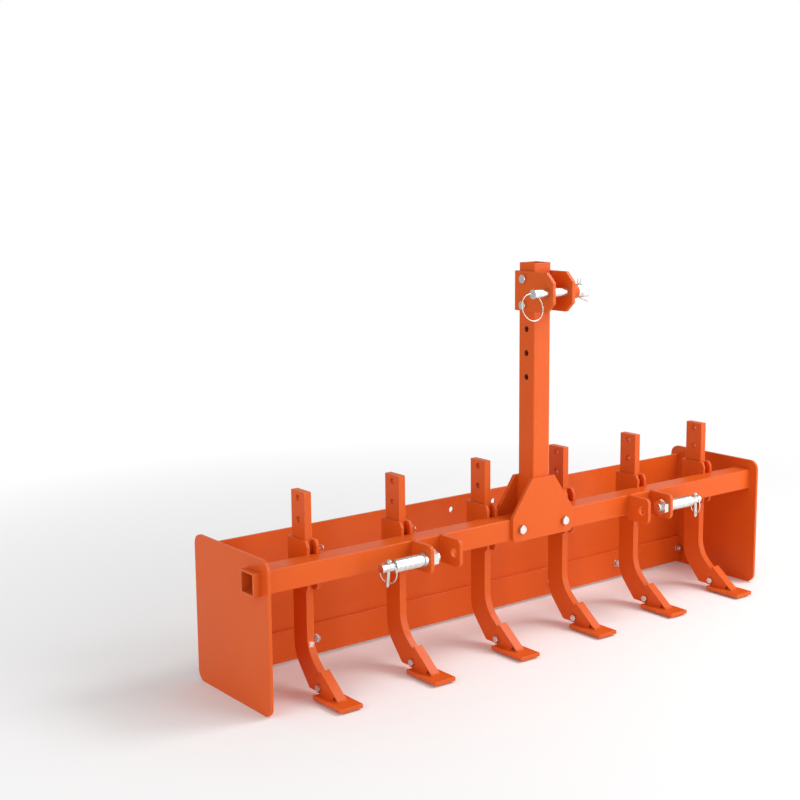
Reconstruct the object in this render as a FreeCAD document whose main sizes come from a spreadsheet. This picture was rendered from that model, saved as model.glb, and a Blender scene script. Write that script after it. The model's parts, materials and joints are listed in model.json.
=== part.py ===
import FreeCAD, Part
import math
import os

import Sketcher

# Tractor box blade, in millimetres.
# +X points to the right as seen from the tractor, looking back at the machine. +Y points to its
# rear and +Z is up, and left and right are named in that view too.
# The pieces are drawn from the front edge of the end plates and from the floor. Each is then
# moved back by the same amount, so that the origin is below the middle of the whole machine.
# The scarifiers are drawn as parked: raised, with their soles just above the floor.

DIMENSIONS = [
    # alias, millimetres (or a plain count), what it is
    ("frame_width", 1800, "over the outer faces of the end plates"),
    ("end_plate_depth", 352, "front edge to rear edge"),
    ("end_plate_height", 392, "bottom edge to top edge"),
    ("end_plate_wall", 8, ""),
    ("end_plate_round", 28, "radius of its four corners"),
    ("bar_side", 60, "square tube across the machine"),
    ("bar_wall", 5, ""),
    ("bar_round", 3.5, "outer corner radius, also of the mast"),
    ("bar_inner_round", 1, "inner corner radius"),
    ("bar_setback", 24, "bar's front face behind the end plates' front edge"),
    ("bar_base", 303, "underside of the bar above the floor"),
    ("bar_overhang", 25, "beyond each end plate"),
    ("board_setback", 316, "moldboard's front face behind the end plates' front edge"),
    ("board_wall", 6, ""),
    ("board_crest", 368, "top edge above the floor"),
    ("board_sill", 20, "bottom edge above the floor"),
    ("board_knee", 120, "height of the bend in the moldboard"),
    ("board_lean", 6, "how far its foot leans forward by floor level"),
    ("board_hole_height", 331, "two small holes above the floor"),
    ("board_hole_bore", 17, ""),
    ("edge_wall", 10, "cutting edge"),
    ("edge_sill", 8, "bottom of the cutting edge above the floor"),
    ("edge_crest", 92, "top of the cutting edge above the floor"),
    ("scarifier_margin", 158.25, "outermost scarifiers from the end plates, before the shift"),
    ("scarifier_shift", 12, "the row of scarifiers stands this far to the right"),
    ("shank_wall", 20, "thickness of the flat bar"),
    ("shank_depth", 60, "width of the flat bar, front to rear"),
    ("shank_setback", 92, "shank's front edge behind the end plates' front edge"),
    ("heel_rise", 75, "where the rear edge turns forward, above the underside of the toe"),
    ("heel_reach", 66, "the heel ahead of the shank's rear edge"),
    ("heel_bend", 100, "outer curve of the shank above its heel"),
    ("heel_round", 8, "the heel's own corner"),
    ("throat_round", 90, "inner curve above the point"),
    ("throat_rise", 96, "corner of the inner curve above the underside of the toe"),
    ("shoulder_reach", 52, "the toe's shoulder ahead of the shank's front edge"),
    ("shoulder_rise", 50, "the toe's shoulder above the underside of the toe"),
    ("toe_reach", 100, "the toe ahead of the shank's front edge"),
    ("toe_head", 13.5, "height of the toe's blunt end"),
    ("hole_pitch", 56, "spacing of the cross-pin holes"),
    ("hole_bore", 17, "cross-pin holes"),
    ("hole_first", 17, "top of the shank to its first hole, when raised fully"),
    ("side_play", 0.5, "between shank and pocket, on each side"),
    ("rear_play", 4, "between shank and the back of the pocket"),
    ("pocket_wall", 8, ""),
    ("pocket_crest", 398, "top of the pockets above the floor"),
    ("pocket_sill", 268, "bottom of the pockets above the floor"),
    ("pocket_lap", 12, "how far a pocket reaches forward over the bar"),
    ("pocket_bevel", 13, "height of the bevel at its front top corner"),
    ("pocket_bevel_run", 8, "length of that bevel from front to rear"),
    ("pocket_round", 14, "its front bottom corner"),
    ("pocket_bend", 6, "outer radius where the U is bent"),
    ("sole_wall", 10, "point's flat sole"),
    ("sole_width", 66, ""),
    ("sole_lead", 77, "the sole's front edge ahead of the toe"),
    ("sole_depth", 122, "front edge to rear edge"),
    ("sole_lift", 5, "sole above the floor when parked"),
    ("cheek_wall", 3, "sides of the channel over the toe"),
    ("cheek_tail", 20, "the cheeks behind the cover's rear end"),
    ("cheek_rise", 26, "height of the cheeks there"),
    ("cover_wall", 17, "top of the channel over the toe, measured upright"),
    ("cover_gap", 10, "cover's rear end ahead of the toe's shoulder"),
    ("cover_nose", 34, "cover's front end ahead of the toe"),
    ("cover_foot", 4, "run of its blunt front end"),
    ("window_gap", 12, "the opening under the cover's nose, ahead of the toe"),
    ("window_length", 18, ""),
    ("window_peak", 7, "its highest corner ahead of its rear end"),
    ("window_rise", 11, ""),
    ("window_sill", 0.5, "its lower edge above the sole"),
    ("toe_play", 0.3, "between the toe and its channel"),
    ("mast_side", 60, "square tube of the mast"),
    ("mast_wall", 5, ""),
    ("mast_crest", 1053.5, "top of the mast above the floor"),
    ("mast_hole_bore", 17, ""),
    ("mast_hole_drop", 42.5, "top of the mast to its first hole"),
    ("mast_hole_gap", 71, "first hole to the second"),
    ("mast_hole_pitch", 65.5, "between the others"),
    ("gusset_wall", 10, "plates in front of and behind the mast"),
    ("gusset_gap", 6.25, "between the gussets and the pockets beside them"),
    ("gusset_neck", 84, "width at the top"),
    ("gusset_sill", 300, "bottom edge above the floor"),
    ("gusset_shoulder", 369, "where the sides start to slope in"),
    ("gusset_crest", 467, "top edge above the floor"),
    ("gusset_round", 12, ""),
    ("gusset_bolt_inset", 30, "its bolts from its sides"),
    ("gusset_bolt_bore", 14, ""),
    ("clevis_wall", 10, ""),
    ("clevis_depth", 150, ""),
    ("clevis_height", 107, ""),
    ("clevis_tail", 6, "how far a clevis plate reaches behind the mast"),
    ("clevis_rise", 20.5, "clevis plate above the top mast hole"),
    ("clevis_bevel", 26, "bevel of its front corners"),
    ("clevis_pin_inset", 24, "pin behind the clevis plate's front edge"),
    ("link_pin_bore", 26, "pin hole in the clevis"),
    ("link_pin_diameter", 25.4, ""),
    ("link_pin_length", 170, ""),
    ("link_pin_tail", 50, "pin's left end beyond the clevis plate"),
    ("boss_diameter", 40, "boss on the right clevis plate"),
    ("boss_length", 22, ""),
    ("ear_wall", 10, ""),
    ("ear_outer", 444, "outer ears' middle from the middle of the machine"),
    ("ear_spacing", 94, "from an outer ear's middle to the inner ear's"),
    ("ear_reach", 79, "ahead of the bar's front face"),
    ("ear_height", 73, ""),
    ("ear_sill", 290, "bottom edge above the floor"),
    ("ear_round", 14, ""),
    ("ear_pin_inset", 25, "pin behind the ear's front edge"),
    ("ear_pin_rise", 35, "pin above the ear's bottom edge"),
    ("ear_bore", 25, "holes in the ears"),
    ("hitch_pin_diameter", 22, ""),
    ("hitch_pin_reach", 140, "outward from the outer ear"),
    ("collar_diameter", 40, "collar against the ear"),
    ("collar_length", 12, ""),
    ("stud_diameter", 24, "threaded end through the ear"),
    ("stud_length", 40, ""),
    ("sleeve_diameter", 34, ""),
    ("sleeve_length", 88, ""),
    ("sleeve_play", 0.2, "between pin and sleeve, on radius"),
    ("nut_across", 41, "across flats"),
    ("nut_height", 19, ""),
    ("thread_play", 0.1, "between stud and nut, on radius"),
]

SCARIFIERS = 6
HOLES_RAISED = 3
MAST_HOLES = 5
CLEVIS_BOLTS = 2
HEX_CORNERS_TO_FLATS = 1 / math.cos(math.radians(30))

doc = FreeCAD.newDocument("BoxBlade")
sheet = doc.addObject("Spreadsheet::Sheet", "Sizes")
for row, (alias, value, note) in enumerate(DIMENSIONS, start=1):
    sheet.set(f"A{row}", alias)
    sheet.set(f"B{row}", str(value))
    sheet.set(f"C{row}", note)
    sheet.setAlias(f"B{row}", alias)
doc.recompute()


class Size:
    """A number together with the sheet expression that gives it."""

    def __init__(self, number, text):
        self.number = number
        self.text = text

    def joined(self, sign, other, number):
        return Size(number, f"({self.text} {sign} {other.text})")

    def __add__(self, other):
        other = as_size(other)
        return self.joined("+", other, self.number + other.number)

    def __sub__(self, other):
        other = as_size(other)
        return self.joined("-", other, self.number - other.number)

    def __mul__(self, other):
        other = as_size(other)
        return self.joined("*", other, self.number * other.number)

    def __truediv__(self, other):
        other = as_size(other)
        return self.joined("/", other, self.number / other.number)

    def __neg__(self):
        return Size(-self.number, f"(0 - {self.text})")


def as_size(value):
    return value if isinstance(value, Size) else Size(value, f"({value})")


class Sheet:
    """Every alias of the sheet as a Size, so that d.bar_side reads as a length."""

    def __getattr__(self, alias):
        return Size(float(sheet.get(alias)), f"Sizes.{alias}")


d = Sheet()
subparts = []
solids_in = {}


def bind(item, path, size):
    item.setExpression(path, as_size(size).text)


def add_body(label, x=0, y=0, z=0, turned=False):
    """A body drawn in the machine's own coordinates, or placed at x, y, z where it is a repeat."""
    body = doc.addObject("PartDesign::Body", label)
    body.Label = label
    half_turn = FreeCAD.Rotation(FreeCAD.Vector(0, 0, 1), 180 if turned else 0)
    body.Placement = FreeCAD.Placement(FreeCAD.Vector(), half_turn)
    bind(body, ".Placement.Base.x", x)
    bind(body, ".Placement.Base.y", as_size(y) - middle_setback)
    bind(body, ".Placement.Base.z", z)
    subparts.append(body)
    return body


def add_sketch(body, name, plane, offset=0):
    """A sketch on one of the body's own planes, moved along that plane's normal by offset."""
    sketch = body.newObject("Sketcher::SketchObject", name)
    support = next(f for f in body.Origin.OriginFeatures if f.Role == plane)
    sketch.AttachmentSupport = [(support, "")]
    sketch.MapMode = "FlatFace"
    bind(sketch, "AttachmentOffset.Base.z", offset)
    return sketch


def fix_point(sketch, geometry, point, across, up):
    for kind, size in (("DistanceX", as_size(across)), ("DistanceY", as_size(up))):
        index = sketch.addConstraint(Sketcher.Constraint(kind, -1, 1, geometry, point, size.number))
        bind(sketch, f"Constraints[{index}]", size)


def outline(sketch, corners):
    """A closed outline of straight edges; corners are (across, up) in the sketch's plane."""
    corners = [(as_size(across), as_size(up)) for across, up in corners]
    first = sketch.GeometryCount
    for start, end in zip(corners, corners[1:] + corners[:1]):
        tail = FreeCAD.Vector(start[0].number, start[1].number, 0)
        head = FreeCAD.Vector(end[0].number, end[1].number, 0)
        sketch.addGeometry(Part.LineSegment(tail, head))
    for i, (across, up) in enumerate(corners):
        following = first + (i + 1) % len(corners)
        sketch.addConstraint(Sketcher.Constraint("Coincident", first + i, 2, following, 1))
        fix_point(sketch, first + i, 1, across, up)


def rectangle(sketch, left, right, bottom, top):
    outline(sketch, [(left, bottom), (right, bottom), (right, top), (left, top)])


def circle(sketch, across, up, diameter):
    diameter = as_size(diameter)
    centre = FreeCAD.Vector(as_size(across).number, as_size(up).number, 0)
    normal = FreeCAD.Vector(0, 0, 1)
    index = sketch.addGeometry(Part.Circle(centre, normal, diameter.number / 2))
    fix_point(sketch, index, 3, across, up)
    constraint = sketch.addConstraint(Sketcher.Constraint("Diameter", index, diameter.number))
    bind(sketch, f"Constraints[{constraint}]", diameter)


def pad(body, sketch, length):
    """Thicken a sketch along its plane's normal."""
    feature = body.newObject("PartDesign::Pad", f"{sketch.Name}_pad")
    feature.Profile = sketch
    bind(feature, "Length", length)
    sketch.Visibility = False
    return feature


def cut(body, sketch, length=None):
    """Cut a sketch out against its plane's normal, right through where no length is given."""
    doc.recompute()
    before = body.Shape.Volume
    feature = body.newObject("PartDesign::Pocket", f"{sketch.Name}_cut")
    feature.Profile = sketch
    if length is None:
        feature.Type = "ThroughAll"
    else:
        bind(feature, "Length", length)
    doc.recompute()
    if not body.Shape.Volume < before - 1:
        raise RuntimeError(f"{feature.Name} of {body.Label} cuts nothing")
    return feature


def revolve(body, sketch):
    """Turn a sketch about its own horizontal axis."""
    feature = body.newObject("PartDesign::Revolution", f"{sketch.Name}_turned")
    feature.Profile = sketch
    feature.ReferenceAxis = (sketch, ["H_Axis"])
    feature.Angle = 360
    return feature


def edges_along(feature, axis, spots):
    """Names of the straight edges along an axis (0, 1 or 2) that pass through the spots."""
    others = [i for i in range(3) if i != axis]
    names = []
    for number, edge in enumerate(feature.Shape.Edges, start=1):
        ends = [vertex.Point for vertex in edge.Vertexes]
        if len(ends) != 2 or abs(ends[0][axis] - ends[1][axis]) < 1e-3:
            continue
        for spot in spots:
            if all(abs(end[i] - as_size(c).number) < 1e-3 for end in ends for i, c in zip(others, spot)):
                names.append(f"Edge{number}")
    if not names:
        raise RuntimeError(f"no edge of {feature.Name} at those spots")
    return names


def round_edges(body, axis, spots, radius):
    doc.recompute()
    base = body.Tip
    feature = body.newObject("PartDesign::Fillet", f"{body.Label}_round")
    feature.Base = (base, edges_along(base, axis, spots))
    bind(feature, "Radius", radius)
    return feature


def gather(label, bodies):
    """Like pieces that don't touch, kept as one sub-part."""
    group = doc.addObject("Part::Compound", label)
    group.Label = label
    group.Links = list(bodies)
    for body in bodies:
        subparts.remove(body)
    subparts.append(group)
    solids_in[label] = len(group.Links)


# Places that several pieces share.
toe_tip = d.shank_setback - d.toe_reach
sole_front = toe_tip - d.sole_lead
middle_setback = (d.end_plate_depth + sole_front) / 2

bar_front = d.bar_setback
bar_back = d.bar_setback + d.bar_side
bar_top = d.bar_base + d.bar_side
bar_middle_up = d.bar_base + d.bar_side / 2
bar_middle_back = d.bar_setback + d.bar_side / 2
inner_width = d.frame_width - d.end_plate_wall * 2

shank_back = d.shank_setback + d.shank_depth
shank_middle = d.shank_setback + d.shank_depth / 2
pin_height = bar_middle_up
pocket_back = shank_back + d.rear_play + d.pocket_wall
pocket_front = bar_back - d.pocket_lap
pocket_gap = d.shank_wall + d.side_play * 2
scarifier_pitch = (inner_width - d.scarifier_margin * 2) / (SCARIFIERS - 1)
pocket_width = pocket_gap + d.pocket_wall * 2
toe_bottom = d.sole_lift + d.sole_wall + d.toe_play
shank_top = pin_height + d.hole_pitch * HOLES_RAISED + d.hole_first

gusset_half = scarifier_pitch / 2 - d.scarifier_shift - pocket_width / 2 - d.gusset_gap
gusset_bolt_out = gusset_half - d.gusset_bolt_inset

mast_half = d.mast_side / 2
top_hole = d.mast_crest - d.mast_hole_drop
clevis_front = bar_back + d.clevis_tail - d.clevis_depth
clevis_top = top_hole + d.clevis_rise
link_pin_back = clevis_front + d.clevis_pin_inset
link_pin_up = clevis_top - d.clevis_height / 2

ear_front = bar_front - d.ear_reach
hitch_back = ear_front + d.ear_pin_inset
hitch_up = d.ear_sill + d.ear_pin_rise
ear_outer_face = d.ear_outer + d.ear_wall / 2
ear_inner = d.ear_outer - d.ear_spacing


def scarifier_place(number):
    return d.scarifier_shift + scarifier_pitch * (number - (SCARIFIERS + 1) / 2)


def square_tube(body, plane, middle, side, wall, start, length, corner):
    """A square tube along one of the body's axes, its section centred on middle."""
    across, up = middle
    outer = add_sketch(body, f"{body.Label}_section", plane, start)
    half = side / 2
    rectangle(outer, across - half, across + half, up - half, up + half)
    pad(body, outer, length)
    spots = [(across + half * i, up + half * j) for i in (-1, 1) for j in (-1, 1)]
    axis = {"YZ_Plane": 0, "XY_Plane": 2}[plane]
    round_edges(body, axis, spots, corner)
    inner = add_sketch(body, f"{body.Label}_hollow", plane, start + length)
    half = side / 2 - wall
    rectangle(inner, across - half, across + half, up - half, up + half)
    cut(body, inner)
    spots = [(across + half * i, up + half * j) for i in (-1, 1) for j in (-1, 1)]
    round_edges(body, axis, spots, d.bar_inner_round)


def build_tool_bar():
    body = add_body("tool_bar")
    length = d.frame_width + d.bar_overhang * 2
    square_tube(body, "YZ_Plane", (bar_middle_back, bar_middle_up), d.bar_side, d.bar_wall,
                -length / 2, length, d.bar_round)


def build_end_plate(label, outer_face):
    body = add_body(label, x=outer_face)
    sketch = add_sketch(body, f"{label}_outline", "YZ_Plane")
    rectangle(sketch, 0, d.end_plate_depth, 0, d.end_plate_height)
    pad(body, sketch, d.end_plate_wall)
    corners = [(y, z) for y in (0, d.end_plate_depth) for z in (0, d.end_plate_height)]
    round_edges(body, 0, corners, d.end_plate_round)
    hole = add_sketch(body, f"{label}_bar_hole", "YZ_Plane", d.end_plate_wall)
    rectangle(hole, bar_front, bar_back, d.bar_base, bar_top)
    cut(body, hole)
    corners = [(y, z) for y in (bar_front, bar_back) for z in (d.bar_base, bar_top)]
    round_edges(body, 0, corners, d.bar_round)


def board_face(height):
    """The moldboard's front face at a height below its bend."""
    return d.board_setback - d.board_lean + d.board_lean * (height / d.board_knee)


def build_moldboard():
    body = add_body("moldboard")
    sketch = add_sketch(body, "moldboard_section", "YZ_Plane", -inner_width / 2)
    foot = board_face(d.board_sill)
    wall = d.board_wall
    outline(sketch, [
        (foot, d.board_sill), (foot + wall, d.board_sill),
        (d.board_setback + wall, d.board_knee), (d.board_setback + wall, d.board_crest),
        (d.board_setback, d.board_crest), (d.board_setback, d.board_knee),
    ])
    pad(body, sketch, inner_width)
    holes = add_sketch(body, "moldboard_holes", "XZ_Plane", -d.board_setback)
    for side in (-1, 1):
        circle(holes, gusset_bolt_out * side, d.board_hole_height, d.board_hole_bore)
    cut(body, holes)


def build_cutting_edge():
    body = add_body("cutting_edge")
    sketch = add_sketch(body, "cutting_edge_section", "YZ_Plane", -inner_width / 2)
    low, high = board_face(d.edge_sill), board_face(d.edge_crest)
    outline(sketch, [
        (low - d.edge_wall, d.edge_sill), (low, d.edge_sill),
        (high, d.edge_crest), (high - d.edge_wall, d.edge_crest),
    ])
    pad(body, sketch, inner_width)


def build_pocket(number):
    body = add_body(f"pocket_{number}", x=scarifier_place(number))
    half = pocket_width / 2
    sketch = add_sketch(body, f"pocket_side_{number}", "YZ_Plane", -half)
    outline(sketch, [
        (pocket_front, bar_top), (pocket_front, d.pocket_crest - d.pocket_bevel),
        (pocket_front + d.pocket_bevel_run, d.pocket_crest), (pocket_back, d.pocket_crest),
        (pocket_back, d.pocket_sill), (pocket_front, d.pocket_sill),
        (pocket_front, d.bar_base), (bar_back, d.bar_base), (bar_back, bar_top),
    ])
    pad(body, sketch, pocket_width)
    round_edges(body, 0, [(pocket_front, d.pocket_sill)], d.pocket_round)
    round_edges(body, 2, [(-half, pocket_back), (half, pocket_back)], d.pocket_bend)
    channel = add_sketch(body, f"pocket_channel_{number}", "XY_Plane", d.pocket_crest)
    inside = pocket_gap / 2
    rectangle(channel, -inside, inside, pocket_front - d.pocket_wall, pocket_back - d.pocket_wall)
    cut(body, channel)
    hole = add_sketch(body, f"pocket_hole_{number}", "YZ_Plane", half)
    circle(hole, shank_middle, pin_height, d.hole_bore)
    cut(body, hole)
    return body


def build_shank(number):
    body = add_body(f"shank_{number}", x=scarifier_place(number))
    sketch = add_sketch(body, f"shank_side_{number}", "YZ_Plane", -d.shank_wall / 2)
    throat = toe_bottom + d.throat_rise
    outline(sketch, [
        (d.shank_setback, shank_top), (d.shank_setback, throat),
        (d.shank_setback - d.shoulder_reach, toe_bottom + d.shoulder_rise),
        (toe_tip, toe_bottom + d.toe_head), (toe_tip, toe_bottom),
        (shank_back - d.heel_reach, toe_bottom), (shank_back, toe_bottom + d.heel_rise),
        (shank_back, shank_top),
    ])
    pad(body, sketch, d.shank_wall)
    round_edges(body, 0, [(shank_back, toe_bottom + d.heel_rise)], d.heel_bend)
    round_edges(body, 0, [(shank_back - d.heel_reach, toe_bottom)], d.heel_round)
    round_edges(body, 0, [(d.shank_setback, throat)], d.throat_round)
    holes = add_sketch(body, f"shank_holes_{number}", "YZ_Plane", d.shank_wall / 2)
    for step in range(-1, HOLES_RAISED + 1):
        circle(holes, shank_middle, pin_height + d.hole_pitch * step, d.hole_bore)
    cut(body, holes)


shoulder_back = d.shank_setback - d.shoulder_reach
cover_slope = (d.shoulder_rise - d.toe_head) / (d.toe_reach - d.shoulder_reach)
sole_top = d.sole_lift + d.sole_wall
cover_back = shoulder_back - d.cover_gap


def toe_top(back):
    """Upper side of the toe at a place, and of its line carried on past the shoulder."""
    return toe_bottom + d.toe_head + cover_slope * (back - toe_tip)


def build_point(number):
    body = add_body(f"point_{number}", x=scarifier_place(number))
    sole = add_sketch(body, f"point_sole_{number}", "XY_Plane", d.sole_lift)
    half = d.sole_width / 2
    rectangle(sole, -half, half, sole_front, sole_front + d.sole_depth)
    pad(body, sole, d.sole_wall)
    width = d.shank_wall + (d.toe_play + d.cheek_wall) * 2
    side = add_sketch(body, f"point_channel_{number}", "YZ_Plane", -width / 2)
    nose = toe_tip - d.cover_nose
    rise = d.toe_play + d.cover_wall
    outline(side, [
        (cover_back, toe_top(cover_back) + rise), (nose, toe_top(nose) + rise),
        (nose - d.cover_foot, sole_top), (cover_back + d.cheek_tail, sole_top),
        (cover_back + d.cheek_tail, sole_top + d.cheek_rise),
    ])
    pad(body, side, width)
    slot_half = d.shank_wall / 2 + d.toe_play
    slot = add_sketch(body, f"point_slot_{number}", "YZ_Plane", slot_half)
    front = toe_tip - d.toe_play
    back = d.shank_setback
    outline(slot, [
        (front, sole_top), (back, sole_top),
        (back, toe_top(back) + d.toe_play), (front, toe_top(front) + d.toe_play),
    ])
    cut(body, slot, slot_half * 2)
    window = add_sketch(body, f"point_window_{number}", "YZ_Plane", width / 2)
    rear, sill = toe_tip - d.window_gap, sole_top + d.window_sill
    outline(window, [(rear, sill), (rear - d.window_peak, sill + d.window_rise), (rear - d.window_length, sill)])
    cut(body, window, width)


def mast_hole_up(step):
    """Height of a hole in the mast, counted down from the first."""
    return top_hole if step == 0 else top_hole - d.mast_hole_gap - d.mast_hole_pitch * (step - 1)


def build_mast():
    body = add_body("mast")
    square_tube(body, "XY_Plane", (as_size(0), bar_middle_back), d.mast_side, d.mast_wall,
                bar_top, d.mast_crest - bar_top, d.bar_round)
    holes = add_sketch(body, "mast_holes", "YZ_Plane", mast_half)
    for step in range(MAST_HOLES):
        circle(holes, bar_middle_back, mast_hole_up(step), d.mast_hole_bore)
    cut(body, holes)


def build_mast_plate(label, back_face):
    body = add_body(label)
    sketch = add_sketch(body, f"{label}_outline", "XZ_Plane", -back_face)
    foot, neck = gusset_half, d.gusset_neck / 2
    outline(sketch, [
        (-foot, d.gusset_sill), (foot, d.gusset_sill), (foot, d.gusset_shoulder),
        (neck, d.gusset_crest), (-neck, d.gusset_crest), (-foot, d.gusset_shoulder),
    ])
    pad(body, sketch, d.gusset_wall)
    round_edges(body, 1, [(-foot, d.gusset_sill), (foot, d.gusset_sill)], d.gusset_round)
    holes = add_sketch(body, f"{label}_holes", "XZ_Plane", d.gusset_wall - back_face)
    for side in (-1, 1):
        circle(holes, gusset_bolt_out * side, bar_middle_up, d.gusset_bolt_bore)
    cut(body, holes)


def build_clevis_plate(label, side):
    body = add_body(label)
    inner = mast_half if side > 0 else -mast_half - d.clevis_wall
    sketch = add_sketch(body, f"{label}_outline", "YZ_Plane", inner)
    rear = clevis_front + d.clevis_depth
    low = clevis_top - d.clevis_height
    bevel = d.clevis_bevel
    outline(sketch, [
        (clevis_front, low + bevel), (clevis_front + bevel, low), (rear, low),
        (rear, clevis_top), (clevis_front + bevel, clevis_top), (clevis_front, clevis_top - bevel),
    ])
    pad(body, sketch, d.clevis_wall)
    far_side = inner + d.clevis_wall
    if side > 0:
        boss = add_sketch(body, "clevis_boss", "YZ_Plane", far_side)
        circle(boss, link_pin_back, link_pin_up, d.boss_diameter)
        pad(body, boss, d.boss_length)
        far_side = far_side + d.boss_length
    holes = add_sketch(body, f"{label}_holes", "YZ_Plane", far_side)
    circle(holes, link_pin_back, link_pin_up, d.link_pin_bore)
    for step in range(CLEVIS_BOLTS):
        circle(holes, bar_middle_back, mast_hole_up(step), d.mast_hole_bore)
    cut(body, holes)


def build_link_pin():
    left_end = -mast_half - d.clevis_wall - d.link_pin_tail
    body = add_body("top_link_pin", x=left_end, y=link_pin_back, z=link_pin_up)
    sketch = add_sketch(body, "link_pin_section", "YZ_Plane")
    circle(sketch, 0, 0, d.link_pin_diameter)
    pad(body, sketch, d.link_pin_length)


def build_ear(label, middle):
    body = add_body(label, x=middle)
    sketch = add_sketch(body, f"{label}_outline", "YZ_Plane", -d.ear_wall / 2)
    ear_top = d.ear_sill + d.ear_height
    rectangle(sketch, ear_front, bar_front, d.ear_sill, ear_top)
    pad(body, sketch, d.ear_wall)
    round_edges(body, 0, [(ear_front, d.ear_sill), (ear_front, ear_top)], d.ear_round)
    hole = add_sketch(body, f"{label}_hole", "YZ_Plane", d.ear_wall / 2)
    circle(hole, hitch_back, hitch_up, d.ear_bore)
    cut(body, hole)
    return body


def build_hitch_side(side_name, side):
    """Pin, sleeve and nut of one lower hitch point, measured from the ear's outer face."""
    place = dict(x=ear_outer_face * side, y=hitch_back, z=hitch_up, turned=side < 0)

    pin = add_body(f"hitch_pin_{side_name}", **place)
    stud, collar = d.stud_diameter / 2, d.collar_diameter / 2
    shaft = d.hitch_pin_diameter / 2
    profile = add_sketch(pin, f"hitch_pin_profile_{side_name}", "XY_Plane")
    outline(profile, [
        (-d.stud_length, 0), (d.hitch_pin_reach, 0), (d.hitch_pin_reach, shaft),
        (d.collar_length, shaft), (d.collar_length, collar), (0, collar),
        (0, stud), (-d.stud_length, stud),
    ])
    revolve(pin, profile)

    sleeve = add_body(f"hitch_sleeve_{side_name}", **place)
    profile = add_sketch(sleeve, f"hitch_sleeve_profile_{side_name}", "XY_Plane")
    end = d.collar_length + d.sleeve_length
    rectangle(profile, d.collar_length, end, shaft + d.sleeve_play, d.sleeve_diameter / 2)
    revolve(sleeve, profile)

    nut = add_body(f"hitch_nut_{side_name}", **place)
    profile = add_sketch(nut, f"hitch_nut_profile_{side_name}", "YZ_Plane", -d.ear_wall - d.nut_height)
    flat = d.nut_across / 2
    corner = flat * HEX_CORNERS_TO_FLATS
    outline(profile, [
        (-flat, -corner / 2), (0, -corner), (flat, -corner / 2),
        (flat, corner / 2), (0, corner), (-flat, corner / 2),
    ])
    circle(profile, 0, 0, d.stud_diameter + d.thread_play * 2)
    pad(nut, profile, d.nut_height)
    return pin, sleeve, nut


build_tool_bar()
build_end_plate("end_plate_left", -d.frame_width / 2)
build_end_plate("end_plate_right", d.frame_width / 2 - d.end_plate_wall)
build_moldboard()
build_cutting_edge()
build_mast()
build_mast_plate("mast_plate_front", bar_front)
build_mast_plate("mast_plate_rear", bar_back + d.gusset_wall)
build_clevis_plate("clevis_plate_left", -1)
build_clevis_plate("clevis_plate_right", 1)
build_link_pin()
gather("hitch_ears", [
    build_ear("hitch_ear_left_outer", -d.ear_outer),
    build_ear("hitch_ear_left_inner", -ear_inner),
    build_ear("hitch_ear_right_inner", ear_inner),
    build_ear("hitch_ear_right_outer", d.ear_outer),
])
pins, sleeves, nuts = zip(build_hitch_side("left", -1), build_hitch_side("right", 1))
gather("hitch_pins", pins)
gather("hitch_sleeves", sleeves)
gather("hitch_nuts", nuts)
numbers = range(1, SCARIFIERS + 1)
gather("pockets", [build_pocket(number) for number in numbers])
for number in numbers:
    build_shank(number)
    build_point(number)
doc.recompute()

for item in doc.Objects:
    if "Invalid" in item.State or "Error" in item.State:
        raise RuntimeError(f"{item.Name} failed: {item.State}")
for body in subparts:
    if body.Shape.isNull() or not body.Shape.isValid() or body.Shape.Volume < 1:
        raise RuntimeError(f"{body.Label} has no valid shape")
    if len(body.Shape.Solids) != solids_in.get(body.Label, 1):
        raise RuntimeError(f"{body.Label} has {len(body.Shape.Solids)} solids")

os.makedirs("parts", exist_ok=True)
for body in subparts:
    body.Shape.exportStep(f"parts/{body.Label}.step")
print(len(subparts), "sub-parts written")
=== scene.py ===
# %% [markdown]
# # A box blade for a tractor
# The machine is a welded and bolted steel box that a tractor pulls over soil.

# %% Load the frame
import json
import math

import bmesh
import bpy
from mathutils import Matrix, Vector

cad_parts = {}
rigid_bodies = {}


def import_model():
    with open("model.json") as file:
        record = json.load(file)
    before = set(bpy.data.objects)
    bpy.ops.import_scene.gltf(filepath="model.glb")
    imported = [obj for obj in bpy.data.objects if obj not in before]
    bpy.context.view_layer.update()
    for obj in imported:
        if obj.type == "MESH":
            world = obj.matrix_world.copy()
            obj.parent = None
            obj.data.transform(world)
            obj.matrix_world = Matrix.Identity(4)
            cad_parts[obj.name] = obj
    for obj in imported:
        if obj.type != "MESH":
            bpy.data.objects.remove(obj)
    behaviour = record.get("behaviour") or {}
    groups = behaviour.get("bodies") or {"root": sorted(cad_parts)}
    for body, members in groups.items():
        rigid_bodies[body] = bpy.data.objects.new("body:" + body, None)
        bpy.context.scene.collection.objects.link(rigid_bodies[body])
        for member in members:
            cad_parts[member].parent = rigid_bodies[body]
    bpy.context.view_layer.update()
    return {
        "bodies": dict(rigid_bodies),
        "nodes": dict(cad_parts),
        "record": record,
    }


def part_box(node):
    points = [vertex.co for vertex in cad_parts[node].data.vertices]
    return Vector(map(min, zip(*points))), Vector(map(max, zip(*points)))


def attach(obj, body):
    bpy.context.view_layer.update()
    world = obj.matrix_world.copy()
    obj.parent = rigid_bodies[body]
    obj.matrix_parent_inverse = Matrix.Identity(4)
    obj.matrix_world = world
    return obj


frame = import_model()
nodes = frame["nodes"]
print("frame:", len(nodes), "sub-parts")

# %% [markdown]
# Places are read from the frame's own boxes wherever a piece meets a sub-part, so the hardware stays
# seated if the frame changes. Sizes of bolts and wires are the usual ones, given in millimetres.

# %% Places that the hardware shares
MM = 0.001
X, Y, Z = Vector((1, 0, 0)), Vector((0, 1, 0)), Vector((0, 0, 1))
SCARIFIERS = [name for name in frame["bodies"] if name.startswith("scarifier")]

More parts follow.
